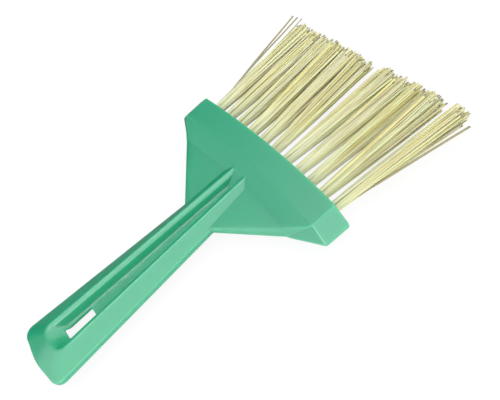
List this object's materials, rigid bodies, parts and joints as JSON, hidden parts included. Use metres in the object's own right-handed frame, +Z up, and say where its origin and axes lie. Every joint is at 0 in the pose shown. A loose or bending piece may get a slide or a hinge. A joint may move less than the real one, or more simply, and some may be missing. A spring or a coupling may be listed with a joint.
{
  "type": "heat exchanger brush",
  "caption": "Hand brush for heat exchanger fins: one moulded handle that widens into a thick bevelled bar, with one straight row of long, pale plant-fibre tufts along its front.",
  "frame": {"origin": "on the flat back of the bar, in the middle of its width, where the brush lies on a table", "axes": "+Y towards the bristle tips and -Y along the handle, +Z up through the side that shows the handle's channel, +X along the bar"},
  "size_m": [0.1642, 0.2823, 0.021],
  "materials": {
    "green_plastic": "smooth glossy sea-green injection moulding, soft highlights along the rounded ridges",
    "straw_fibre": "coarse pale straw-coloured plant fibre, matte, cut square at the tips",
    "zinc_wire": "dull zinc-plated steel strip, hidden in the bar"
  },
  "bodies": {
    "root": {"brush_body": "green_plastic", "tuft_01": "straw_fibre", "tuft_02": "straw_fibre", "tuft_03": "straw_fibre", "tuft_04": "straw_fibre", "tuft_05": "straw_fibre", "tuft_06": "straw_fibre", "tuft_07": "straw_fibre", "tuft_08": "straw_fibre", "tuft_09": "straw_fibre", "tuft_10": "straw_fibre", "tuft_11": "straw_fibre", "tuft_anchor_01": "zinc_wire", "tuft_anchor_02": "zinc_wire", "tuft_anchor_03": "zinc_wire", "tuft_anchor_04": "zinc_wire", "tuft_anchor_05": "zinc_wire", "tuft_anchor_06": "zinc_wire", "tuft_anchor_07": "zinc_wire", "tuft_anchor_08": "zinc_wire", "tuft_anchor_09": "zinc_wire", "tuft_anchor_10": "zinc_wire", "tuft_anchor_11": "zinc_wire"}
  },
  "joints": []
}
